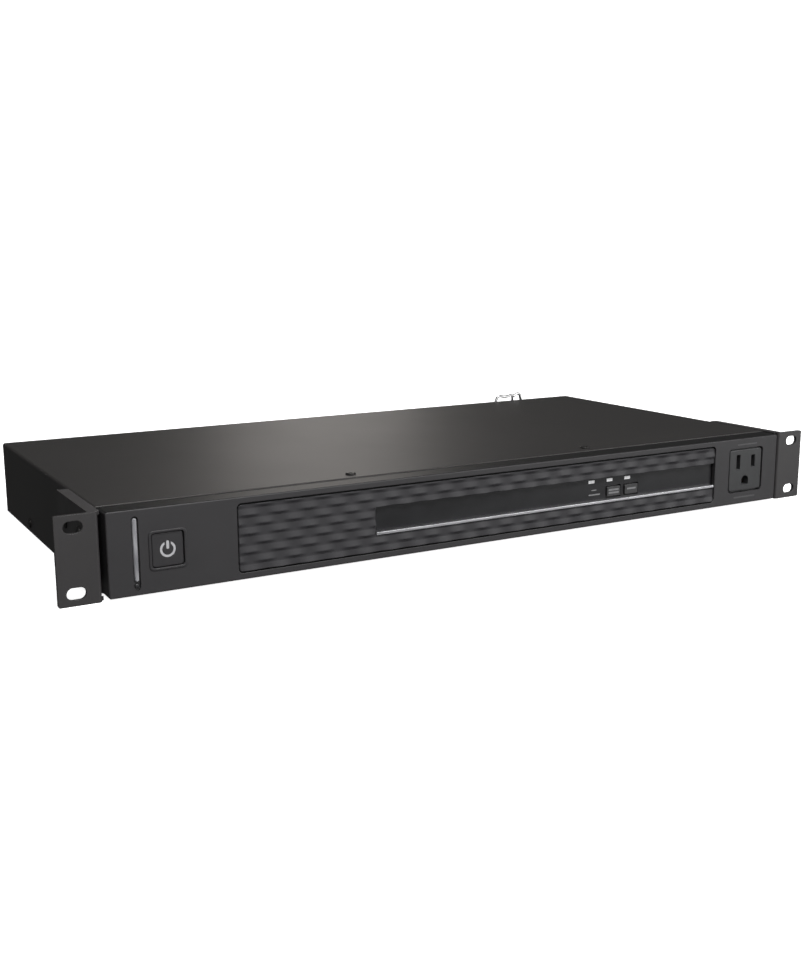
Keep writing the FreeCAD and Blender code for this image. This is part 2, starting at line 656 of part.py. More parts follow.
def power_button_parts():
    frame = body("power_button_frame")
    grow(frame, "XZ", "box", (17.8, 18.4), ("power_x", "bezel_front", "0"), "bezel_wall")
    soften(frame, "Fillet", "1.8", lying("y"))
    grow(frame, "XZ", "box", (19.0, 19.6), ("power_x", "bezel_front - 0.4", "0"), "0.4")
    soften(frame, "Fillet", "2.4", lying("y", ("Z", 9.8)))
    carve(frame, "XZ", "box", (16.2, 17.2), ("power_x", "bezel_front - 0.4", "0"), "5")
    soften(frame, "Fillet", "1.6", lying("y", ("Z", 8.6)))
    soften(frame, "Fillet", "0.3", rim_at(v("bezel_front") - 0.4))

    cap = body("power_button_blank")
    grow(cap, "XZ", "box", (15.6, 16.6), ("power_x", "bezel_front + 0.4", "0"), "2.6")
    soften(cap, "Fillet", "1.6", lying("y"))
    soften(cap, "Fillet", "0.4", rim_at(v("bezel_front") + 0.4))
    grow(cap, "XZ", "box", (17.6, 18.6), ("power_x", "bezel_front + bezel_wall + 0.3", "0"), "0.8")
    grow(cap, "XZ", "round", (2.0,), ("power_x", "0", "0"), "4.6")
    NODES.remove(cap)
    # The symbol is a flush inlay: the cap is the blank with the symbol's seat cut into it.
    node(joined(*power_symbol()), "power_icon")
    node(less(cap, *power_symbol()), "power_button")

    switch = less(block((12, 4, 12), ("power_x - 6", "front_board - 4", "-6")),
                  rod(2.4, "power_travel + 1.6", ("power_x", "front_board - 4", "0"), "y"))
    node(switch, "power_switch_body")


SYMBOL_RADIUS = 3.35
SYMBOL_STROKE = 1.1
SYMBOL_BAR = 1.4
SYMBOL_GAP = 3.2
SYMBOL_DEPTH = 0.3


def power_symbol():
    """The generic standby symbol: a ring with a gap at the top, and a round-ended bar in the gap."""
    front = "bezel_front + 0.4"
    centre = ("power_x", front, "0")
    ring = less(rod(SYMBOL_RADIUS + SYMBOL_STROKE / 2, SYMBOL_DEPTH, centre, "y"),
                rod(SYMBOL_RADIUS - SYMBOL_STROKE / 2, SYMBOL_DEPTH, centre, "y"),
                block((SYMBOL_GAP, SYMBOL_DEPTH, 5), (f"power_x - {SYMBOL_GAP} / 2", front, "0.6")))
    bar_foot = 0.8
    bar_head = 3.6
    bar = joined(block((SYMBOL_BAR, SYMBOL_DEPTH, bar_head - bar_foot),
                       (f"power_x - {SYMBOL_BAR} / 2", front, bar_foot)),
                 rod(SYMBOL_BAR / 2, SYMBOL_DEPTH, ("power_x", front, bar_foot), "y"),
                 rod(SYMBOL_BAR / 2, SYMBOL_DEPTH, ("power_x", front, bar_head), "y"))
    return [ring, bar]


def power_spring():
    """Return spring round the button's stem, between the cap's flange and the switch."""
    start = v("bezel_front") + v("bezel_wall") + 1.1
    end = v("front_board") - 4.0
    wire_r = 0.2
    coil_r = 2.9
    turns = 2.5
    rise = end - start - 2 * wire_r - 0.1
    steps = 8
    points = []
    for index in range(int(turns * steps) + 1):
        turn = 2 * math.pi * index / steps
        climb = rise * index / (turns * steps)
        points.append(FreeCAD.Vector(coil_r * math.cos(turn), climb, coil_r * math.sin(turn)))
    coil = tube(rounded_path(points, 0.48), wire_r)
    spring = doc.addObject("Part::Feature", "power_button_spring")
    spring.Shape = coil
    spring.Placement.Base = FreeCAD.Vector(v("power_x"), start + wire_r + 0.05, 0)
    node(spring, "power_button_spring")


def front_boards():
    """Circuit boards behind the fascia, with the screws that hold them to its posts."""
    power_board = body("power_button_board")
    grow(power_board, "XZ", "box", (36.0, 33.0), (-189.8, "front_board", "0"), "board_sheet")
    for x, z in POWER_POSTS:
        carve(power_board, "XZ", "round", (0.95,), (x, "front_board", z), "board_sheet")
    display_board = body("display_board")
    grow(display_board, "XZ", "box", (232.0, 29.0), (44.0, "front_board", "0"), "board_sheet")
    for x, z in DISPLAY_POSTS:
        carve(display_board, "XZ", "round", (0.95,), (x, "front_board", z), "board_sheet")
    screws = [pan_screw((x, "front_board + board_sheet", z), "y", 1.8, 0.9, 0.8, 5.0)
              for x, z in POWER_POSTS + DISPLAY_POSTS]
    group("board_screws", screws)
    guide = body("light_bar")
    grow(guide, "XZ", "upright slot", (31.2, 2.3), ("light_x", "bezel_front + 0.4", "light_bar_z"),
         "bezel_wall - 0.4")
    soften(guide, "Fillet", "0.7", rim_at(v("bezel_front") + 0.4))
    grow(guide, "XZ", "round", (1.05,), ("light_x", "bezel_front + 0.5", "light_pip_z"), "bezel_wall - 0.5")
    soften(guide, "Fillet", "0.5", rim_at(v("bezel_front") + 0.5))
    grow(guide, "XZ", "box", (4.0, 36.0), ("light_x", "bezel_front + bezel_wall", "0"), "1.6")


# ---------------------------------------------------------------- outlets

def outlet(label, x, front, facing):
    """NEMA 5-15R outlet. It faces -Y when facing is -1 and +Y when facing is 1."""
    def plane_y(near, depth):
        """The front of a layer that starts `near` behind the outlet's face."""
        if facing < 0:
            return f"({front}) + {near}"
        return f"({front}) - {near} - {depth}"

    mould = body(label)
    face, flange, back = (27.2, 26.4, 0.0, 2.3), (33.4, 33.0, 2.3, 1.4), (31.0, 31.0, 3.7, 20.3)
    for width, height, near, depth in (face, flange, back):
        grow(mould, "XZ", "box", (width, height), (x, plane_y(near, depth), "outlet_face_z"), depth)
    for side in (-1, 1):
        soften(mould, "Fillet", "2.0", lying("y", ("z", v("outlet_face_z") + side * 13.2)))
    soften(mould, "Fillet", "0.5", rim_at(v(front)))
    # The neutral slot is the taller one: on the left seen from the outlet's own front.
    left = -1 if facing < 0 else 1
    for side, tall in ((left, 9.2), (-left, 7.6)):
        slot_x = f"{x} + {side} * blade_spacing / 2"
        carve(mould, "XZ", "box", ("blade_slot", tall), (slot_x, plane_y(0, 4), "blade_z"), "4")
        carve(mould, "XZ", "box", (5.0, 11.0), (slot_x, plane_y(4, 20), "blade_z"), "20")
    carve(mould, "XZ", "round", (2.9,), (x, plane_y(0, 4), "blade_z - ground_drop"), "4")
    carve(mould, "XZ", "box", (5.8, 2.9), (x, plane_y(0, 4), "blade_z - ground_drop - 1.45"), "4")
    carve(mould, "XZ", "box", (7.0, 7.0), (x, plane_y(4, 20), "blade_z - ground_drop"), "20")
    return mould


def contact(x, z, front, facing, half_gap, tall, tail, lift=0.0):
    """A spring clip of two brass leaves with a tail, lifted or lowered, that reaches the busbar."""
    def at(near, depth):
        return f"({front}) + {near}" if facing < 0 else f"({front}) - {near} - {depth}"

    leaves = [block((0.7, 14, tall), (f"{x} + {offset}", at(4.4, 14), f"{z} - {tall} / 2"))
              for offset in (half_gap, -half_gap - 0.7)]
    bridge = block((2 * half_gap + 1.4, 1.0, tall),
                   (f"{x} - {half_gap} - 0.7", at(18.4, 1.0), f"{z} - {tall} / 2"))
    reach = block((1.6, tail, 3.0), (f"{x} - 0.8", at(19.4, tail), f"{z} + {lift} - 1.5"))
    return joined(*leaves, bridge, reach)


BUS_LIFT = 2.6
BUS_HEIGHT = 3.4


def outlets():
    face = "front_outlet_y"
    outlet("front_outlet", "outlet_x", face, -1)
    front_clips = [contact("outlet_x - blade_spacing / 2", "blade_z", face, -1, 1.1, 9.0, 6.5),
                   contact("outlet_x + blade_spacing / 2", "blade_z", face, -1, 1.1, 9.0, 6.5),
                   contact("outlet_x", "blade_z - ground_drop", face, -1, 2.4, 5.0, 6.5)]
    group("front_outlet_contacts", front_clips)
    clips = []
    face = "rear_outlet_y"
    for index in range(REAR_OUTLETS):
        x = f"rear_outlet_x + {index} * rear_outlet_pitch"
        outlet(f"rear_outlet_{index + 1}", x, face, 1)
        clips.append(contact(f"{x} + blade_spacing / 2", "blade_z", face, 1, 1.1, 9.0, 5.6, BUS_LIFT))
        clips.append(contact(f"{x} - blade_spacing / 2", "blade_z", face, 1, 1.1, 9.0, 7.6, -BUS_LIFT))
        clips.append(contact(x, "blade_z - ground_drop", face, 1, 2.4, 5.0, 9.6))
    group("rear_outlet_contacts", clips)
    # Three copper strips behind the outlets, each where its own row of tails ends.
    for label, level, depth in (("neutral_busbar", f"blade_z + {BUS_LIFT}", 25.0),
                                ("line_busbar", f"blade_z - {BUS_LIFT}", 27.0),
                                ("ground_busbar", "blade_z - ground_drop", 29.0)):
        strip = block((f"{REAR_OUTLETS - 1} * rear_outlet_pitch + 20", 1.0, BUS_HEIGHT),
                      ("rear_outlet_x - 10", f"{face} - {depth} - 1.0", f"{level} - {BUS_HEIGHT} / 2"))
        node(strip, label)


# ---------------------------------------------------------------- inlet, bail, breaker, ground stud

def inlet_parts():
    housing = body("inlet_housing")
    grow(housing, "XZ", "box", (50.0, 24.0), ("inlet_x", "case_back", "0"), "2.5")
    soften(housing, "Fillet", "4.0", lying("y"))
    grow(housing, "XZ", "box", (27.6, 20.6), ("inlet_x", "case_back - 19", "0"), "19")
    carve(housing, "XZ", "box", (24.4, 16.8), ("inlet_x", "case_back + 2.5 - 16.5", "0"), "16.5")
    for side in (-1, 1):
        soften(housing, "Chamfer", "3.2", lying("y", ("x", v("inlet_x") + side * 12.2), ("z", 8.4)))
    for side in (-1, 1):
        carve(housing, "XZ", "round", (1.6,), (f"inlet_x + {side} * inlet_screw_x", "case_back", "0"), "2.5")
    pins = []
    for x, z in ((-7.0, -2.2), (7.0, -2.2), (0.0, 2.2)):
        carve(housing, "XZ", "box", (2.0, 4.0), (f"inlet_x + {x}", "case_back - 19", z), "6")
        pins.append(joined(block((2.0, 21.0, 4.0), (f"inlet_x + {x} - 1", "case_back - 21", f"{z} - 2")),
                           block((0.8, 8.0, 4.0), (f"inlet_x + {x} - 0.4", "case_back - 29", f"{z} - 2"))))
    group("inlet_pins", pins)

    screws = []
    brackets = []
    for side in (-1, 1):
        x = f"inlet_x + {side} * inlet_screw_x"
        screws.append(pan_screw((x, "case_back + 3.3", "0"), "y", 2.6, 1.8, 1.45, 9.0))
        foot = less(block((8.6, 0.8, 9.0), (f"{x} - 4.3", "case_back + 2.5", "-4.5")),
                    rod(1.6, 0.8, (x, "case_back + 2.5", "0"), "y"))
        cheek_x = f"{x} - {side} * 3.8 - 0.5"
        cheek = less(joined(block((1.0, "bail_pivot_y - case_back - 3.3", 6.0),
                                  (cheek_x, "case_back + 3.3", "-3")),
                            rod(3.0, 1.0, (cheek_x, "bail_pivot_y", "0"), "x")),
                     rod("bail_wire_r + 0.08", 1.0, (cheek_x, "bail_pivot_y", "0"), "x"))
        brackets.append(joined(foot, cheek))
    group("inlet_screws", screws)
    group("bail_brackets", brackets)


def rounded_path(points, radius_share=0.45):
    """Straight runs joined by tangent arcs, through a list of corner points."""
    edges = []
    start = points[0]
    for before, corner, after in zip(points, points[1:], points[2:]):
        inward = (before - corner).normalize()
        outward = (after - corner).normalize()
        cut_back = radius_share * min((before - corner).Length, (after - corner).Length)
        first = corner + inward * cut_back
        last = corner + outward * cut_back
        half_turn = (math.pi - inward.getAngle(outward)) / 2
        radius = cut_back / math.tan(half_turn)
        middle_way = (inward + outward).normalize()
        middle = corner + middle_way * (radius / math.cos(half_turn) - radius)
        edges.append(Part.LineSegment(start, first).toShape())
        edges.append(Part.Arc(first, middle, last).toShape())
        start = last
    edges.append(Part.LineSegment(start, points[-1]).toShape())
    return Part.Wire(edges)


def tube(path, radius):
    """A round bar along a path."""
    start = path.Edges[0].Vertexes[0].Point
    along = path.Edges[0].tangentAt(path.Edges[0].FirstParameter)
    ring = Part.Wire([Part.makeCircle(radius, start, along)])
    return path.makePipeShell([ring], True, False)


# Outline of the upright bail: x from the inlet's centre and z from the pivots.
BAIL_OUTLINE = [(-19.2, 0.0), (-13.4, 0.0), (-13.0, 11.0), (-11.1, 21.0), (-8.8, 25.4), (-2.0, 23.7),
                (4.0, 25.2), (6.3, 24.0), (8.6, 25.8), (11.4, 25.5), (13.0, 20.0), (13.4, 0.0),
                (19.2, 0.0)]
BAIL_FINGER_X = 4.7
BAIL_FINGER = 8.0


def bail():
    """Wire bail that holds a plug in: pivot ends, two legs, a waved crossbar and a short finger."""
    pivot = FreeCAD.Vector(v("inlet_x"), v("bail_pivot_y"), 0)
    loop = tube(rounded_path([pivot + FreeCAD.Vector(x, 0, z) for x, z in BAIL_OUTLINE]), v("bail_wire_r"))
    finger_top = pivot + FreeCAD.Vector(BAIL_FINGER_X, 0, 24.9)
    finger = Part.makeCylinder(0.9 * v("bail_wire_r"), BAIL_FINGER, finger_top, FreeCAD.Vector(0, 0, -1))
    wire = doc.addObject("Part::Feature", "bail_wire")
    wire.Shape = loop.fuse(finger)
    wire.Placement = FreeCAD.Placement()
    node(wire, "bail_wire")


def breaker_and_stud():
    x = "breaker_x"
    neck = joined(block((15, 26, 30), (f"{x} - 7.5", "case_back - base_sheet - 26", "-15")),
                  rod(5.4, 5.6, (x, "case_back - base_sheet", "0"), "y"))
    node(less(neck, rod(3.6, 22, (x, "case_back - base_sheet - 16", "0"), "y")), "breaker_body")
    nut = less(prism(8.0, 2.4, (x, "case_back", "0"), "y"), rod(5.45, 2.4, (x, "case_back", "0"), "y"))
    node(nut, "breaker_nut")
    button = joined(rod(3.3, "10 + breaker_travel", (x, "case_back - 2 - breaker_travel", "0"), "y"),
                    cone(3.3, 2.9, 0.6, (x, "case_back + 8", "0"), "y"))
    node(button, "breaker_button")
    stud = joined(rod(2.0, 20.0, ("stud_x", "case_back - 8", "stud_z"), "y"),
                  prism(4.0, 3.0, ("stud_x", "case_back - base_sheet - 3", "stud_z"), "y"))
    node(stud, "ground_stud")
    nut = less(prism(4.0, 3.2, ("stud_x", "case_back + 0.8", "stud_z"), "y"),
               rod(2.05, 3.2, ("stud_x", "case_back + 0.8", "stud_z"), "y"))
    washer = less(rod(4.4, 0.8, ("stud_x", "case_back", "stud_z"), "y"),
                  rod(2.1, 0.8, ("stud_x", "case_back", "stud_z"), "y"))
    node(joined(nut, washer), "ground_nut")


# ---------------------------------------------------------------- inside

BOARD_X = -150.0
BOARD_Y = 70.0
BOARD_LENGTH = 250.0
BOARD_DEPTH = 96.0
STANDOFFS = [(BOARD_X + x, BOARD_Y + y) for x in (6.0, BOARD_LENGTH / 2, BOARD_LENGTH - 6.0)
             for y in (6.0, BOARD_DEPTH - 6.0)]


def surge_board_parts():
    board = body("surge_board")
    deck = "surge_board_z + board_sheet"
    grow(board, "XY", "box", (BOARD_LENGTH, BOARD_DEPTH),
         (BOARD_X + BOARD_LENGTH / 2, BOARD_Y + BOARD_DEPTH / 2, deck), "board_sheet")
    for x, y in STANDOFFS:
        carve(board, "XY", "round", (1.6,), (x, y, deck), "board_sheet")
    posts = [less(prism(3.2, "surge_board_z - floor_z", (x, y, "floor_z")),
                  rod(1.55, "surge_board_z - floor_z - 1", (x, y, "floor_z + 1"))) for x, y in STANDOFFS]
    group("board_standoffs", posts)
    group("standoff_screws", [pan_screw((x, y, deck), "z", 2.6, 1.6, 1.4, 5.0) for x, y in STANDOFFS])

    discs = []
    for index in range(3):
        x = f"{BOARD_X} + 30 + {index} * 9"
        discs.append(rod(7.5, 4.6, (x, BOARD_Y + 70, f"{deck} + 9"), "x"))
    group("varistors", discs)

    core = doc.addObject("Part::Torus", "Core")
    bind(core, Radius1=11, Radius2=5, x=BOARD_X + 80, y=BOARD_Y + 66, z=f"{deck} + 5")
    node(core, "filter_choke")
    node(block((32, 14, 22), (BOARD_X + 104, BOARD_Y + 60, deck)), "film_capacitor")
    relays = [block((18.5, 15.0, 19.0), (BOARD_X + 16 + 27 * index, BOARD_Y + 14, deck))
              for index in range(REAR_OUTLETS)]
    group("outlet_relays", relays)
    node(block((52, 30, 23), (BOARD_X + 150, BOARD_Y + 52, deck)), "power_module")

    fuse = joined(rod(4.2, 8, (BOARD_X + 20, BOARD_Y + 46, f"{deck} + 1")),
                  rod(0.4, 1, (BOARD_X + 17.5, BOARD_Y + 46, deck)),
                  rod(0.4, 1, (BOARD_X + 22.5, BOARD_Y + 46, deck)))
    node(fuse, "line_fuse")

    terminal = block((30, 12, 14), (BOARD_X + 210, BOARD_Y + 80, deck))
    mouths = [rod(2.2, 8, (f"{BOARD_X} + 215 + {10 * index}", f"{BOARD_Y} + 92", f"{deck} + 6"), "-y")
              for index in range(3)]
    node(less(terminal, *mouths), "terminal_block")


def internal_wires():
    """Line, ground and neutral wires from the terminal block to the inlet's tabs."""
    wires = []
    deck = v("surge_board_z") + v("board_sheet")
    for index, (pin_x, pin_z, level) in enumerate(((-7.0, -2.2, -11.5), (0.0, 2.2, -1.5), (7.0, -2.2, -6.5))):
        start = FreeCAD.Vector(BOARD_X + 215 + 10 * index, BOARD_Y + 85, deck + 6)
        end = FreeCAD.Vector(v("inlet_x") + pin_x, v("case_back") - 29.2, pin_z)
        points = [start, start + FreeCAD.Vector(0, 8, 0),
                  FreeCAD.Vector(start.x + 3, start.y + 20, level),
                  FreeCAD.Vector(end.x - 14, end.y - 16, level),
                  end + FreeCAD.Vector(0, -9, 0), end]
        wires.append(tube(rounded_path(points), 1.5))
    loom = doc.addObject("Part::Feature", "internal_wires")
    loom.Shape = Part.Compound(wires)
    loom.Placement = FreeCAD.Placement()
    node(loom, "internal_wires")


# ---------------------------------------------------------------- build, test and write

chassis_base()
top_cover()
rack_ears()
case_screws()
front_bezel()
textured_panel()
display_parts()
power_button_parts()
power_spring()
front_boards()
outlets()
inlet_parts()
bail()
breaker_and_stud()
surge_board_parts()
internal_wires()
doc.recompute()

faults = [f"{item.Label}: {item.State}" for item in doc.Objects
          if "Invalid" in item.State or "Error" in item.State]
for item in NODES:
    if item.Shape.isNull() or not item.Shape.isValid() or not item.Shape.Solids:
        faults.append(f"{item.Label}: no valid solid")
if faults:
    raise SystemExit("\n".join(faults))

os.makedirs("parts", exist_ok=True)
for item in NODES:
    item.Shape.exportStep(f"parts/{item.Label}.step")
print(len(NODES), "sub-parts written")
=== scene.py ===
import json
import math

import bmesh
import bpy
from mathutils import Matrix, Vector


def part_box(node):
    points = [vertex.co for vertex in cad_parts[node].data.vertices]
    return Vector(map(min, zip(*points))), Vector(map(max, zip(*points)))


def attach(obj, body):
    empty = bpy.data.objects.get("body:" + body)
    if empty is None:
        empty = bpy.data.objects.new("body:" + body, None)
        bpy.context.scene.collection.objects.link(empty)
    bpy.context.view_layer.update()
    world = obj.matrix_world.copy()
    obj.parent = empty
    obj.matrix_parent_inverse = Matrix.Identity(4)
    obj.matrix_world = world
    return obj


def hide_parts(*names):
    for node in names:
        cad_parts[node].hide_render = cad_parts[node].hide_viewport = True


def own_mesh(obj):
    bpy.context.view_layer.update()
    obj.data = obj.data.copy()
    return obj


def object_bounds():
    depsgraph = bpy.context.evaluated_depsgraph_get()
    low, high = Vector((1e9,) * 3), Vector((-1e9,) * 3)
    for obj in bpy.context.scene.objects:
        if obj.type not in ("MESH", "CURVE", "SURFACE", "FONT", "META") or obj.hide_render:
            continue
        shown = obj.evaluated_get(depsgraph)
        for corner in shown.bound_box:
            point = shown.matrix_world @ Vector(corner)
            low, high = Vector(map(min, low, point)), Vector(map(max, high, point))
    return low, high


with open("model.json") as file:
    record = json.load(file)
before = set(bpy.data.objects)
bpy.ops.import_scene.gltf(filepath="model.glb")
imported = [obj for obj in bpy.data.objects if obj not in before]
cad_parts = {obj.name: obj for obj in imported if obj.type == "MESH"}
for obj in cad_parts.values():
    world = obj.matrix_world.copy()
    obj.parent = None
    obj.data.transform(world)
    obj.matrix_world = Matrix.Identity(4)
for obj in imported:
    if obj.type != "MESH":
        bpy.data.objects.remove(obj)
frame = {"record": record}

MM = 0.001
cad_low, cad_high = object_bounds()


# ---------------------------------------------------------------- material helpers

class Finish:
    """A Principled material with a few helpers that add procedural detail in object space."""

    def __init__(self, name, color, roughness, metallic=0.0, specular=0.5):
        self.material = bpy.data.materials.new(name)
        self.material.use_nodes = True
        self.tree = self.material.node_tree
        self.shader = self.tree.nodes["Principled BSDF"]
        self.set("Base Color", (*color, 1.0))
        self.set("Roughness", roughness)
        self.set("Metallic", metallic)
        self.set("Specular IOR Level", specular)
        self.material.diffuse_color = (*color, 1.0)
        self.last_normal = None

    def set(self, socket, value):
        self.shader.inputs[socket].default_value = value

    def add(self, kind, **settings):
        made = self.tree.nodes.new(kind)
        for name, value in settings.items():
            setattr(made, name, value)
        return made

    def link(self, start, end):
        self.tree.links.new(start, end)

    def place(self, stretch=(1.0, 1.0, 1.0)):
        """The object's own coordinates in metres, stretched along each axis."""
        coordinates = self.add("ShaderNodeTexCoord")
        mapping = self.add("ShaderNodeMapping")
        mapping.inputs["Scale"].default_value = stretch
        self.link(coordinates.outputs["Object"], mapping.inputs["Vector"])
        return mapping.outputs["Vector"]

    def noise(self, size, detail=2.0, stretch=(1.0, 1.0, 1.0)):
        """Noise whose blotches are about `size` metres across."""
        noise = self.add("ShaderNodeTexNoise")
        noise.inputs["Scale"].default_value = 1.0 / size
        noise.inputs["Detail"].default_value = detail
        self.link(self.place(stretch), noise.inputs["Vector"])
        return noise.outputs["Fac"]

    def cells(self, size):
        """Distance to the nearest cell centre, for a pebbled grain."""
        cells = self.add("ShaderNodeTexVoronoi", feature="SMOOTH_F1")
        cells.inputs["Scale"].default_value = 1.0 / size
        self.link(self.place(), cells.inputs["Vector"])
        return cells.outputs["Distance"]

    def part_of(self, output, axis):
        """One axis of the object's coordinates ("Object") or of its surface normal ("Normal")."""
        coordinates = self.add("ShaderNodeTexCoord")
        split = self.add("ShaderNodeSeparateXYZ")
        self.link(coordinates.outputs[output], split.inputs["Vector"])
        return split.outputs[axis]

    def blend(self, factor, first, second):
        """A colour or value that goes from the first to the second as the factor goes from 0 to 1."""
        is_color = isinstance(second, tuple)
        mix = self.add("ShaderNodeMix", data_type="RGBA" if is_color else "FLOAT")
        a, b = (mix.inputs[6], mix.inputs[7]) if is_color else (mix.inputs[2], mix.inputs[3])
        self.link(factor, mix.inputs[0])
        self.link(first, a)
        b.default_value = (*second, 1.0) if is_color else second
        return mix.outputs[2] if is_color else mix.outputs[0]

    def source(self, socket):
        """What now feeds one of the shader's sockets."""
        return self.shader.inputs[socket].links[0].from_socket

    def spread(self, factor, low, high, start=0.3, stop=0.7):
        """A value from low to high as the factor goes from start to stop."""
        remap = self.add("ShaderNodeMapRange")
        for socket, value in (("From Min", start), ("From Max", stop), ("To Min", low), ("To Max", high)):
            remap.inputs[socket].default_value = value
        self.link(factor, remap.inputs["Value"])
        return remap.outputs["Result"]

    def vary_color(self, factor, first, second, start=0.3, stop=0.7):
        ramp = self.add("ShaderNodeValToRGB")
        ramp.color_ramp.elements[0].position = start
        ramp.color_ramp.elements[0].color = (*first, 1.0)
        ramp.color_ramp.elements[1].position = stop
        ramp.color_ramp.elements[1].color = (*second, 1.0)
        self.link(factor, ramp.inputs["Fac"])
        self.link(ramp.outputs["Color"], self.shader.inputs["Base Color"])

    def vary_roughness(self, factor, low, high, start=0.3, stop=0.7):
        self.link(self.spread(factor, low, high, start, stop), self.shader.inputs["Roughness"])

    def bump(self, height, strength, depth):
        """Add relief of the given depth in metres; calls stack."""
        bump = self.add("ShaderNodeBump")
        bump.inputs["Strength"].default_value = strength
        bump.inputs["Distance"].default_value = depth
        self.link(height, bump.inputs["Height"])
        if self.last_normal is not None:
            self.link(self.last_normal, bump.inputs["Normal"])
        self.last_normal = bump.outputs["Normal"]
        self.link(self.last_normal, self.shader.inputs["Normal"])

    def round_edges(self, radius):
        """Catch light on edges, as a thin coat or a moulded edge does."""
        bevel = self.add("ShaderNodeBevel", samples=4)
        bevel.inputs["Radius"].default_value = radius
        self.last_normal = bevel.outputs["Normal"]
        self.link(self.last_normal, self.shader.inputs["Normal"])


# ---------------------------------------------------------------- materials, one function each

def painted_steel():
    """Satin black powder coat: fine orange peel, faint unevenness in gloss."""
    coat = Finish("painted_steel", (0.021, 0.0205, 0.020), 0.42, specular=0.5)
    coat.round_edges(0.15 * MM)
    coat.vary_color(coat.noise(90 * MM, 2.0), (0.0210, 0.0196, 0.0192), (0.0230, 0.0214, 0.0208))
    coat.vary_roughness(coat.noise(70 * MM, 2.0), 0.415, 0.435)
    coat.bump(coat.noise(0.9 * MM, 2.0), 0.22, 0.06 * MM)
    coat.bump(coat.noise(0.25 * MM, 1.0), 0.12, 0.02 * MM)
    return coat.material


def ear_paint_painted_light():
    """The same coat on the ears, with painted light: its colour is lighter than the case's, for the extra
    light that the ears catch.
    """
    # Painted light: a lighter copy of the case's coat.
    coat = Finish("ear_paint_painted_light", (0.038, 0.036, 0.037), 0.46, specular=0.5)
    coat.round_edges(0.35 * MM)
    coat.vary_color(coat.noise(40 * MM, 3.0), (0.0365, 0.0345, 0.0352), (0.0405, 0.0385, 0.0392))
    coat.vary_roughness(coat.noise(14 * MM, 4.0), 0.43, 0.49)
    coat.bump(coat.noise(0.9 * MM, 2.0), 0.22, 0.06 * MM)
    return coat.material


def fascia_plastic():
    """Charcoal moulding with a fine spark-eroded grain; faces that look up or down are smoother and carry
    painted shade, a near-black colour.
    """
    moulding = Finish("fascia_plastic", (0.032, 0.031, 0.033), 0.5, specular=0.45)
    moulding.round_edges(0.2 * MM)
    moulding.vary_color(moulding.noise(35 * MM, 3.0), (0.0310, 0.0298, 0.0316), (0.0345, 0.0333, 0.0352))
    moulding.vary_roughness(moulding.noise(9 * MM, 3.0), 0.47, 0.54)
    # Painted shade: faces that look up or down are blended to near black, standing in for the dark that
    # they reflect.
    upward = moulding.part_of("Normal", "Z")
    tilt = moulding.add("ShaderNodeMath", operation="ABSOLUTE")
    moulding.link(upward, tilt.inputs[0])
    edge = moulding.spread(tilt.outputs["Value"], 0.0, 1.0, 0.55, 0.90)
    moulding.link(moulding.blend(edge, moulding.source("Base Color"), (0.003, 0.003, 0.003)),
                  moulding.shader.inputs["Base Color"])
    moulding.link(moulding.blend(edge, moulding.source("Roughness"), 0.43),
                  moulding.shader.inputs["Roughness"])
    moulding.bump(moulding.cells(0.42 * MM), 0.25, 0.03 * MM)
    moulding.bump(moulding.noise(0.14 * MM, 2.0), 0.2, 0.015 * MM)
    return moulding.material


def wave_plastic():
    """The panel's insert: the fascia's plastic, a shade lighter and less shiny."""
    moulding = Finish("wave_plastic", (0.040, 0.039, 0.042), 0.54, specular=0.32)
    moulding.vary_color(moulding.noise(28 * MM, 3.0), (0.035, 0.034, 0.037), (0.040, 0.039, 0.042))
    moulding.vary_roughness(moulding.noise(7 * MM, 3.0), 0.50, 0.58)
    moulding.bump(moulding.cells(0.38 * MM), 0.18, 0.02 * MM)
    return moulding.material


def panel_rim_painted_shade():
    """The panel round its insert, seen only in the grooves: painted shade, near black for the shadow in the
    recess.
    """
    # Painted shade: the same plastic as the fascia, coloured near black where the recess is in shadow.
    rim = Finish("panel_rim_painted_shade", (0.004, 0.004, 0.004), 0.60, specular=0.12)
    rim.vary_color(rim.noise(20 * MM, 3.0), (0.003, 0.003, 0.003), (0.005, 0.005, 0.005))
    rim.vary_roughness(rim.noise(6 * MM, 3.0), 0.56, 0.66)
    return rim.material


def button_plastic():
    """Satin black caps and the frame round the power button."""
    cap = Finish("button_plastic", (0.031, 0.030, 0.032), 0.40, specular=0.5)
    cap.round_edges(0.2 * MM)
    cap.vary_roughness(cap.noise(4 * MM, 3.0), 0.36, 0.44)
    cap.bump(cap.noise(0.2 * MM, 2.0), 0.15, 0.015 * MM)
    return cap.material


def key_plastic():
    """The two small keys, a shade lighter than the strip that they stand in."""
    cap = Finish("key_plastic", (0.040, 0.040, 0.041), 0.45, specular=0.5)
    cap.round_edges(0.15 * MM)
    cap.vary_color(cap.noise(3 * MM, 2.0), (0.037, 0.037, 0.038), (0.043, 0.043, 0.044))
    cap.vary_roughness(cap.noise(2 * MM, 3.0), 0.41, 0.49)
    cap.bump(cap.noise(0.2 * MM, 2.0), 0.15, 0.015 * MM)
    return cap.material


def display_plastic():
    """Dark satin strip with the faint streaks of a wiped surface."""
    strip = Finish("display_plastic", (0.013, 0.013, 0.014), 0.36, specular=0.4)
    strip.vary_color(strip.noise(20 * MM, 2.0), (0.0115, 0.0115, 0.0125), (0.0150, 0.0150, 0.0165))
    strip.vary_roughness(strip.noise(6 * MM, 4.0, (0.15, 1.0, 1.0)), 0.32, 0.41)
    return strip.material


def trim_metal():
    """Bright line of brushed aluminium, brushed along its length."""
    metal = Finish("trim_metal", (0.58, 0.58, 0.60), 0.38, metallic=1.0)
    brushed = metal.noise(0.3 * MM, 3.0, (0.02, 1.0, 1.0))
    metal.vary_color(brushed, (0.54, 0.54, 0.56), (0.62, 0.62, 0.64))
    metal.vary_roughness(brushed, 0.32, 0.44)
    metal.bump(brushed, 0.15, 0.02 * MM)
    return metal.material


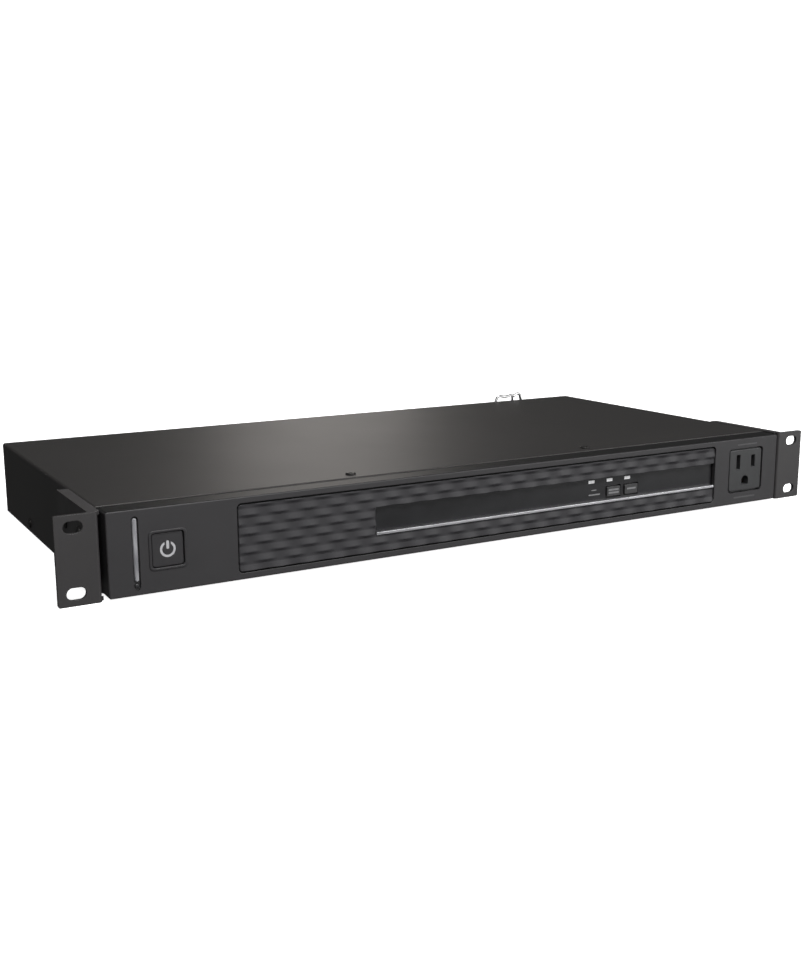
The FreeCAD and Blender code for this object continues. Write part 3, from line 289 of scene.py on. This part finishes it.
def light_guide():
    """Frosted white light guide, faintly lit from behind."""
    guide = Finish("light_guide", (0.42, 0.42, 0.44), 0.30, specular=0.5)
    guide.vary_color(guide.noise(3 * MM, 3.0, (1.0, 1.0, 0.2)), (0.14, 0.14, 0.15), (0.44, 0.44, 0.46))
    height = guide.part_of("Object", "Z")
    in_bar = guide.spread(height, 0.0, 1.0, -14.8 * MM, -14.4 * MM)
    dark = guide.add("ShaderNodeMath", operation="SUBTRACT")
    dark.inputs[0].default_value = 1.0
    guide.link(in_bar, dark.inputs[1])
    guide.link(guide.blend(dark.outputs["Value"], guide.source("Base Color"), (0.035, 0.035, 0.037)),
               guide.shader.inputs["Base Color"])
    guide.vary_roughness(guide.noise(0.8 * MM, 2.0, (1.0, 1.0, 0.05)), 0.22, 0.42)
    guide.set("Subsurface Weight", 0.25)
    guide.set("Subsurface Radius", (0.6 * MM, 0.6 * MM, 0.6 * MM))
    guide.bump(guide.noise(0.5 * MM, 2.0, (1.0, 1.0, 0.04)), 0.3, 0.05 * MM)
    return guide.material


def lit_window():
    """Milky indicator window, dimly lit from behind."""
    window = Finish("lit_window", (0.60, 0.60, 0.61), 0.35, specular=0.5)
    window.vary_color(window.noise(1.2 * MM, 2.0), (0.54, 0.54, 0.55), (0.66, 0.66, 0.67))
    window.vary_roughness(window.noise(0.6 * MM, 2.0), 0.30, 0.42)
    window.set("Emission Color", (1.0, 1.0, 1.0, 1.0))
    window.set("Emission Strength", 0.20)
    return window.material


def icon_ink_painted_glow():
    """White inlay of the power symbol, with a faint painted glow."""
    ink = Finish("icon_ink_painted_glow", (0.42, 0.42, 0.44), 0.45)
    ink.vary_color(ink.noise(1.5 * MM, 2.0), (0.38, 0.38, 0.40), (0.46, 0.46, 0.47))
    # Painted glow: a faint emission brightens the inlay, which is no lamp.
    ink.set("Emission Color", (1.0, 1.0, 1.0, 1.0))
    ink.set("Emission Strength", 0.06)
    return ink.material


def printed_grey():
    """Pale grey screen print."""
    ink = Finish("printed_grey", (0.20, 0.20, 0.205), 0.55)
    ink.vary_color(ink.noise(0.6 * MM, 2.0), (0.16, 0.16, 0.165), (0.24, 0.24, 0.245))
    return ink.material


def faint_grey():
    """Dark grey screen print, a little lighter than the moulding."""
    ink = Finish("faint_grey", (0.075, 0.075, 0.077), 0.55)
    ink.vary_color(ink.noise(0.6 * MM, 2.0), (0.060, 0.060, 0.062), (0.090, 0.090, 0.092))
    return ink.material


def outlet_plastic():
    """Satin thermoplastic of the outlets, smoother than the fascia."""
    face = Finish("outlet_plastic", (0.034, 0.035, 0.036), 0.42, specular=0.5)
    face.round_edges(0.25 * MM)
    face.vary_color(face.noise(12 * MM, 3.0), (0.032, 0.033, 0.034), (0.037, 0.038, 0.039))
    face.vary_roughness(face.noise(3 * MM, 3.0), 0.38, 0.47)
    face.bump(face.noise(0.3 * MM, 2.0), 0.12, 0.02 * MM)
    return face.material


def black_screws():
    """Black oxide on steel: dark, slightly oily, brighter where a driver has rubbed."""
    oxide = Finish("black_screws", (0.045, 0.043, 0.042), 0.36, metallic=0.75)
    oxide.round_edges(0.15 * MM)
    worn = oxide.noise(1.2 * MM, 4.0)
    oxide.vary_color(worn, (0.032, 0.031, 0.030), (0.085, 0.082, 0.080), 0.35, 0.85)
    oxide.vary_roughness(worn, 0.28, 0.46)
    return oxide.material


def plated_steel():
    """Zinc plate with its soft mottled bloom."""
    zinc = Finish("plated_steel", (0.60, 0.61, 0.62), 0.36, metallic=1.0)
    zinc.round_edges(0.15 * MM)
    bloom = zinc.noise(2.2 * MM, 4.0)
    zinc.vary_color(bloom, (0.50, 0.51, 0.53), (0.68, 0.68, 0.66))
    zinc.vary_roughness(bloom, 0.28, 0.45)
    zinc.bump(zinc.noise(0.3 * MM, 2.0), 0.1, 0.02 * MM)
    return zinc.material


def bail_steel():
    """Drawn spring wire with fine die marks along it."""
    wire = Finish("bail_steel", (0.52, 0.52, 0.52), 0.28, metallic=1.0)
    drawn = wire.noise(0.35 * MM, 3.0, (1.0, 1.0, 0.08))
    wire.vary_color(drawn, (0.42, 0.42, 0.43), (0.60, 0.60, 0.59))
    wire.vary_roughness(drawn, 0.20, 0.36)
    wire.bump(drawn, 0.12, 0.02 * MM)
    return wire.material


def brass():
    """Rolled brass strip, a little tarnished in patches."""
    metal = Finish("brass", (0.72, 0.52, 0.24), 0.30, metallic=1.0)
    tarnish = metal.noise(5 * MM, 5.0)
    metal.vary_color(tarnish, (0.50, 0.34, 0.15), (0.78, 0.58, 0.28))
    metal.vary_roughness(tarnish, 0.24, 0.42)
    metal.bump(metal.noise(0.4 * MM, 2.0, (0.05, 1.0, 1.0)), 0.1, 0.02 * MM)
    return metal.material


def dark_brass():
    """Contacts deep in the front outlet, nearly black."""
    metal = Finish("dark_brass", (0.05, 0.04, 0.03), 0.50, metallic=0.8)
    metal.vary_color(metal.noise(3 * MM, 4.0), (0.035, 0.029, 0.021), (0.065, 0.053, 0.038))
    metal.vary_roughness(metal.noise(1.5 * MM, 3.0), 0.44, 0.58)
    return metal.material


def circuit_board():
    """Green solder mask over a fine glass weave."""
    board = Finish("circuit_board", (0.02, 0.13, 0.05), 0.34, specular=0.5)
    board.vary_color(board.noise(4 * MM, 4.0), (0.012, 0.09, 0.035), (0.025, 0.16, 0.065))
    board.vary_roughness(board.noise(2 * MM, 2.0), 0.28, 0.42)
    board.bump(board.cells(0.5 * MM), 0.2, 0.03 * MM)
    return board.material


def component_black():
    """Moulded epoxy and nylon housings."""
    epoxy = Finish("component_black", (0.024, 0.024, 0.024), 0.48, specular=0.45)
    epoxy.round_edges(0.2 * MM)
    epoxy.vary_color(epoxy.noise(6 * MM, 4.0), (0.020, 0.020, 0.020), (0.032, 0.031, 0.031))
    epoxy.vary_roughness(epoxy.noise(1.5 * MM, 3.0), 0.42, 0.56)
    epoxy.bump(epoxy.noise(0.25 * MM, 2.0), 0.2, 0.02 * MM)
    return epoxy.material


def component_blue():
    """Dipped epoxy coat, glossy with soft dimples."""
    dip = Finish("component_blue", (0.02, 0.09, 0.34), 0.24, specular=0.5)
    dip.vary_color(dip.noise(5 * MM, 3.0), (0.015, 0.07, 0.28), (0.03, 0.12, 0.42))
    dip.vary_roughness(dip.noise(2 * MM, 3.0), 0.18, 0.32)
    dip.bump(dip.noise(1.6 * MM, 2.0), 0.25, 0.1 * MM)
    return dip.material


def ferrite():
    """Coated ferrite: dull grey with a grainy skin."""
    core = Finish("ferrite", (0.07, 0.07, 0.07), 0.6)
    core.vary_color(core.noise(2.5 * MM, 4.0), (0.05, 0.05, 0.05), (0.10, 0.10, 0.10))
    core.vary_roughness(core.noise(1.2 * MM, 3.0), 0.52, 0.70)
    core.bump(core.noise(0.5 * MM, 3.0), 0.35, 0.05 * MM)
    return core.material


def terminal_green():
    """Green polyamide of the screw terminals."""
    nylon = Finish("terminal_green", (0.03, 0.26, 0.09), 0.42)
    nylon.vary_color(nylon.noise(4 * MM, 3.0), (0.025, 0.22, 0.075), (0.04, 0.31, 0.11))
    nylon.vary_roughness(nylon.noise(1.5 * MM, 3.0), 0.36, 0.50)
    nylon.bump(nylon.noise(0.3 * MM, 2.0), 0.15, 0.02 * MM)
    return nylon.material


def wire_jacket():
    """Soft PVC insulation with faint extrusion marks."""
    jacket = Finish("wire_jacket", (0.03, 0.03, 0.03), 0.5)
    jacket.vary_color(jacket.noise(8 * MM, 3.0), (0.025, 0.025, 0.025), (0.04, 0.04, 0.04))
    jacket.vary_roughness(jacket.noise(1 * MM, 3.0), 0.42, 0.58)
    jacket.bump(jacket.noise(0.5 * MM, 2.0, (0.1, 0.1, 1.0)), 0.15, 0.03 * MM)
    return jacket.material


SLOT_FINISHES = {
    "painted_steel": painted_steel(),
    "fascia_plastic": fascia_plastic(),
    "gloss_black": button_plastic(),
    "display_plastic": display_plastic(),
    "trim_metal": trim_metal(),
    "light_guide": light_guide(),
    "outlet_plastic": outlet_plastic(),
    "black_screws": black_screws(),
    "plated_steel": plated_steel(),
    "bail_steel": bail_steel(),
    "brass": brass(),
    "circuit_board": circuit_board(),
    "component_black": component_black(),
    "component_blue": component_blue(),
    "ferrite": ferrite(),
    "terminal_green": terminal_green(),
    "wire_jacket": wire_jacket(),
}
EAR_PAINT_PAINTED_LIGHT = ear_paint_painted_light()
KEY_PLASTIC = key_plastic()
NODE_FINISHES = {
    "mode_button": KEY_PLASTIC,
    "reset_button": KEY_PLASTIC,
    "power_icon": icon_ink_painted_glow(),
    "status_light_pipes": lit_window(),
    "textured_panel": panel_rim_painted_shade(),
    "front_outlet_contacts": dark_brass(),
    "rack_ear_left": EAR_PAINT_PAINTED_LIGHT,
    "rack_ear_right": EAR_PAINT_PAINTED_LIGHT,
}


def finish_cad_nodes():
    """Give every carried-over node the finish of its slot, or one of its own."""
    for part in frame["record"]["subparts"]:
        name = part["node"]
        finish = NODE_FINISHES.get(name, SLOT_FINISHES[part["material_slot"]])
        piece = bpy.data.objects[name]
        if not piece.material_slots:
            piece.data.materials.append(finish)
        for slot in piece.material_slots:
            slot.material = finish


def piece_from(name, build, material, is_smooth):
    """Turn a finished bmesh into an object of one material; is_smooth(face) picks the smooth faces."""
    bmesh.ops.recalc_face_normals(build, faces=build.faces)
    mesh = bpy.data.meshes.new(name)
    build.to_mesh(mesh)
    build.free()
    for face in mesh.polygons:
        face.use_smooth = is_smooth(face)
    mesh.materials.append(material)
    piece = bpy.data.objects.new(name, mesh)
    bpy.context.scene.collection.objects.link(piece)
    return piece


# ---------------------------------------------------------------- the panel's waves

WAVE_LENGTH = 16.25 * MM
WAVE_ROW = 4.76 * MM
WAVE_CREST_X = -129.9 * MM
WAVE_ROW_Z = 0.50 * MM
WAVE_RELIEF = 0.74 * MM
WAVE_FOOT = 0.25 * MM
WAVE_LIP = 0.40
WAVE_SHARPNESS = 1.2
GRID_ACROSS = 0.7 * MM
GRID_UP = 0.30 * MM
SKIN_INSET_LEFT = 2.7 * MM
SKIN_INSET_RIGHT = 2.15 * MM
SKIN_INSET_BOTTOM = 1.5 * MM
SKIN_INSET_TOP = 1.9 * MM
SKIN_CORNER = 1.8 * MM
SKIN_OVERLAP = 0.02 * MM
NOTCH_HEIGHT = 15.3 * MM


def wave_height(x, z):
    """Rows of shallow scales, each row half a scale on from the last.

    A scale's underside rises steeply to its lip, and its face sinks back gently to the next row.
    """
    row = math.floor((z - WAVE_ROW_Z) / WAVE_ROW)
    rise = (z - WAVE_ROW_Z) / WAVE_ROW - row
    across = 0.5 + 0.5 * math.cos(2 * math.pi * ((x - WAVE_CREST_X) / WAVE_LENGTH + 0.5 * (row % 2)))
    lip = min(rise / WAVE_LIP, 1.0)
    lip = lip * lip * (3 - 2 * lip)
    face = min((1.0 - rise) / (1.0 - WAVE_LIP), 1.0)
    return across ** WAVE_SHARPNESS * lip * face


def ticks(start, stop, step, extra=()):
    """Even places from start to stop, with some exact places among them."""
    count = max(1, round((stop - start) / step))
    places = [start + (stop - start) * i / count for i in range(count + 1)]
    for place in extra:
        nearest = min(range(len(places)), key=lambda i: abs(places[i] - place))
        places[nearest] = place
    return places


def round_corner(x, z, low, high, radius):
    """Pull a point of a rectangle in onto the arc of its nearest corner."""
    corner_x = low.x + radius if x < (low.x + high.x) / 2 else high.x - radius
    corner_z = low.z + radius if z < (low.z + high.z) / 2 else high.z - radius
    away_x = (x - corner_x) / radius
    away_z = (z - corner_z) / radius
    outside_x = away_x < 0 if corner_x < (low.x + high.x) / 2 else away_x > 0
    outside_z = away_z < 0 if corner_z < (low.z + high.z) / 2 else away_z > 0
    if not (outside_x and outside_z):
        return x, z
    round_x = away_x * math.sqrt(1 - 0.5 * away_z * away_z)
    round_z = away_z * math.sqrt(1 - 0.5 * away_x * away_x)
    return corner_x + round_x * radius, corner_z + round_z * radius


def wave_skin():
    """The relief on the front of the textured panel, a closed skin round the display strip."""
    panel_low, panel_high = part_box("textured_panel")
    trim_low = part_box("trim_strip")[0]
    low = Vector((panel_low.x + SKIN_INSET_LEFT, 0, panel_low.z + SKIN_INSET_BOTTOM))
    high = Vector((panel_high.x - SKIN_INSET_RIGHT, 0, panel_high.z - SKIN_INSET_TOP))
    notch_left = trim_low.x - 0.3 * MM
    notch_bottom = trim_low.z - 0.05 * MM
    notch_top = notch_bottom + NOTCH_HEIGHT
    base = panel_low.y
    columns = ticks(low.x, high.x, GRID_ACROSS, (notch_left,))
    rows = ticks(low.z, high.z, GRID_UP, (notch_bottom, notch_top))

    build = bmesh.new()
    front = {}
    back = {}

    def vertex(layer, i, k):
        if (i, k) not in layer:
            x, z = round_corner(columns[i], rows[k], low, high, SKIN_CORNER)
            if layer is front:
                y = base - WAVE_FOOT - WAVE_RELIEF * wave_height(x, z)
            else:
                y = base + SKIN_OVERLAP
            layer[i, k] = build.verts.new((x, y, z))
        return layer[i, k]

    def is_kept(i, k):
        if not (0 <= i < len(columns) - 1 and 0 <= k < len(rows) - 1):
            return False
        middle_x = (columns[i] + columns[i + 1]) / 2
        middle_z = (rows[k] + rows[k + 1]) / 2
        return not (middle_x > notch_left and notch_bottom < middle_z < notch_top)

    for i in range(len(columns) - 1):
        for k in range(len(rows) - 1):
            if not is_kept(i, k):
                continue
            ring = [(i, k), (i + 1, k), (i + 1, k + 1), (i, k + 1)]
            build.faces.new([vertex(front, *corner) for corner in ring])
            build.faces.new([vertex(back, *corner) for corner in reversed(ring)])
            sides = (((i, k - 1), 0), ((i + 1, k), 1), ((i, k + 1), 2), ((i - 1, k), 3))
            for neighbour, side in sides:
                if not is_kept(*neighbour):
                    first, second = ring[side], ring[(side + 1) % 4]
                    build.faces.new([vertex(front, *second), vertex(front, *first),
                                     vertex(back, *first), vertex(back, *second)])
    skin = piece_from("wave_skin", build, wave_plastic(), lambda face: abs(face.normal.y) > 0.3)
    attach(skin, "case")


# ---------------------------------------------------------------- printed bars

PRINT_THICKNESS = 0.03 * MM


def printed_bar(name, body, face, span, level, tall, ink):
    """A plain printed bar with round ends, standing on a face that looks to the front."""
    left, right = span
    radius = tall / 2
    rim = []
    for centre, start in ((right - radius, -math.pi / 2), (left + radius, math.pi / 2)):
        for step in range(9):
            turn = start + math.pi * step / 8
            rim.append((centre + radius * math.cos(turn), level + radius * math.sin(turn)))
    build = bmesh.new()
    front = [build.verts.new((x, face - PRINT_THICKNESS, z)) for x, z in rim]
    back = [build.verts.new((x, face + PRINT_THICKNESS, z)) for x, z in rim]
    build.faces.new(front)
    build.faces.new(list(reversed(back)))
    for i in range(len(rim)):
        following = (i + 1) % len(rim)
        build.faces.new([front[i], back[i], back[following], front[following]])
    bar = piece_from(name, build, ink, lambda face: False)
    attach(bar, body)


def printed_bars():
    """Plain bars where the unit carries small labels."""
    grey = printed_grey()
    faint = faint_grey()
    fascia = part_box("front_bezel")[0].y
    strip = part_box("display_window")[0].y
    mode_low, mode_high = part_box("mode_button")
    reset_low, reset_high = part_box("reset_button")
    mode_x = (mode_low.x + mode_high.x) / 2
    reset_x = (reset_low.x + reset_high.x) / 2
    mode_span = (mode_x - 3.9 * MM, mode_x + 3.9 * MM)
    reset_span = (reset_x - 3.4 * MM, reset_x + 3.4 * MM)
    printed_bar("label_status_upper", "case", strip, (69.7 * MM, 73.4 * MM), 0.0, 0.6 * MM, grey)
    printed_bar("label_status_lower", "case", strip, (67.7 * MM, 76.2 * MM), -2.7 * MM, 0.8 * MM, grey)
    printed_bar("label_mode_upper", "mode_button", mode_low.y, mode_span, -0.9 * MM, 1.0 * MM, grey)
    printed_bar("label_mode_lower", "mode_button", mode_low.y, mode_span, -2.7 * MM, 1.0 * MM, grey)
    printed_bar("label_reset", "reset_button", reset_low.y, reset_span, -1.5 * MM, 1.0 * MM, grey)
    printed_bar("label_outlet_upper", "case", fascia, (183.4 * MM, 200.2 * MM), 17.3 * MM, 0.9 * MM, faint)
    printed_bar("label_outlet_lower", "case", fascia, (182.1 * MM, 200.3 * MM), -16.5 * MM, 0.9 * MM, faint)


# ---------------------------------------------------------------- the power button's spring

def spring_coil():
    """The coil behind the power button, a fixed helix of wire."""
    low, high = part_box("power_button_spring")
    wire = 0.2 * MM
    turns = 2.5
    steps = 60
    sides = 10
    middle = (low + high) / 2
    radius = (high.x - low.x) / 2 - wire
    climb = high.y - low.y - 2 * wire
    build = bmesh.new()
    rings = []
    for step in range(steps + 1):
        turn = 2 * math.pi * turns * step / steps
        outward = Vector((math.cos(turn), 0, math.sin(turn)))
        centre = Vector((middle.x, low.y + wire + climb * step / steps, middle.z)) + radius * outward
        rings.append([build.verts.new(centre + wire * (math.cos(around) * outward
                                                       + math.sin(around) * Vector((0, 1, 0))))
                      for around in (2 * math.pi * side / sides for side in range(sides))])
    for first, second in zip(rings, rings[1:]):
        for side in range(sides):
            following = (side + 1) % sides
            build.faces.new([first[side], first[following], second[following], second[side]])
    build.faces.new(rings[0])
    build.faces.new(list(reversed(rings[-1])))
    coil = piece_from("spring_coil", build, SLOT_FINISHES["plated_steel"], lambda face: True)
    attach(coil, "case")
    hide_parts("power_button_spring")
    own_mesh(coil)


# ---------------------------------------------------------------- studio

FLOOR_RADIUS = 3.2
FLOOR_RIM = 1.6
FLOOR_SEGMENTS = 64
FLOOR_CENTRE_Y = 0.1


def studio_floor():
    """A pale floor that sweeps up into a low wall all round, far from the object."""
    level = cad_low.z
    profile = [(0.001, 0.0), (0.5, 0.0), (1.2, 0.0), (FLOOR_RADIUS - FLOOR_RIM, 0.0)]
    for step in range(1, 9):
        turn = math.pi / 2 * step / 8
        profile.append((FLOOR_RADIUS - FLOOR_RIM + FLOOR_RIM * math.sin(turn),
                        FLOOR_RIM * (1 - math.cos(turn))))
    build = bmesh.new()
    rings = []
    for radius, height in profile:
        rings.append([build.verts.new((radius * math.cos(turn), radius * math.sin(turn) + FLOOR_CENTRE_Y,
                                       level + height))
                      for turn in (2 * math.pi * i / FLOOR_SEGMENTS for i in range(FLOOR_SEGMENTS))])
    for inner, outer in zip(rings, rings[1:]):
        for i in range(FLOOR_SEGMENTS):
            following = (i + 1) % FLOOR_SEGMENTS
            build.faces.new([inner[i], outer[i], outer[following], inner[following]])
    build.faces.new(rings[0])
    paper = Finish("studio_paper", (0.90, 0.90, 0.90), 0.9, specular=0.1)
    paper.vary_color(paper.noise(0.8, 2.0), (0.89, 0.89, 0.89), (0.91, 0.91, 0.91))
    paper.set("Emission Color", (1.0, 1.0, 1.0, 1.0))
    paper.set("Emission Strength", 0.9)
    floor = piece_from("studio_floor", build, paper.material, lambda face: True)
    floor.visible_glossy = False
    floor.visible_diffuse = False


def softbox(name, at, aim, width, height, power, color=(1.0, 1.0, 1.0)):
    light = bpy.data.lights.new(name, "AREA")
    light.shape = "RECTANGLE"
    light.size = width
    light.size_y = height
    light.energy = power
    light.color = color
    lamp = bpy.data.objects.new(name, light)
    lamp.location = at
    lamp.rotation_euler = (Vector(aim) - Vector(at)).to_track_quat("-Z", "Y").to_euler()
    lamp.visible_camera = False
    bpy.context.scene.collection.objects.link(lamp)
    return lamp


def world_light():
    world = bpy.data.worlds.new("studio")
    world.use_nodes = True
    background = world.node_tree.nodes["Background"]
    background.inputs["Color"].default_value = (1.0, 1.0, 1.0, 1.0)
    background.inputs["Strength"].default_value = 0.06
    bpy.context.scene.world = world


def studio_lights():
    softbox("overhead", (0.2, 0.3, 2.2), (0.0, 0.1, 0.0), 2.2, 2.2, 8)
    softbox("back_strip", (1.0, 2.3, 0.75), (-0.05, 0.1, 0.0), 0.5, 0.9, 2.2, (1.0, 0.95, 0.90))
    softbox("key", (0.0, -1.0, 1.6), (0.0, 0.0, 0.0), 1.0, 0.5, 34)
    softbox("front_right", (1.35, -1.45, 0.3), (0.15, 0.0, 0.0), 0.9, 0.8, 16.5)
    softbox("front_fill", (0.4, -2.0, 0.25), (0.1, 0.0, 0.0), 0.8, 0.8, 5)
    softbox("left_front", (-1.1, -1.7, 0.9), (-0.15, 0.0, 0.0), 0.9, 0.9, 7.5)
    behind = softbox("behind", (-0.3, 2.1, 0.5), (0.0, 0.2, 0.0), 1.2, 0.6, 12)
    behind.visible_glossy = False


def camera():
    """The eye stands low, in front of the left end, and looks down a little to the right."""
    turn, dip, roll = 0.5169, 0.2000, -0.0047
    forward = Vector((math.sin(turn) * math.cos(dip), math.cos(turn) * math.cos(dip), -math.sin(dip)))
    level = Vector((math.cos(turn), -math.sin(turn), 0.0))
    upward = level.cross(forward)
    right = level * math.cos(roll) + upward * math.sin(roll)
    up = upward * math.cos(roll) - level * math.sin(roll)
    lens = bpy.data.cameras.new("camera")
    lens.lens = 44.07
    lens.sensor_width = 36.0
    lens.clip_start = 0.01
    eye = bpy.data.objects.new("camera", lens)
    eye.matrix_world = Matrix((
        (right.x, up.x, -forward.x, -0.3601),
        (right.y, up.y, -forward.y, -0.5322),
        (right.z, up.z, -forward.z, 0.1436),
        (0.0, 0.0, 0.0, 1.0)))
    bpy.context.scene.collection.objects.link(eye)
    bpy.context.scene.camera = eye


finish_cad_nodes()
wave_skin()
printed_bars()
spring_coil()
studio_floor()
world_light()
studio_lights()
camera()
bpy.context.scene.view_settings.view_transform = "Standard"
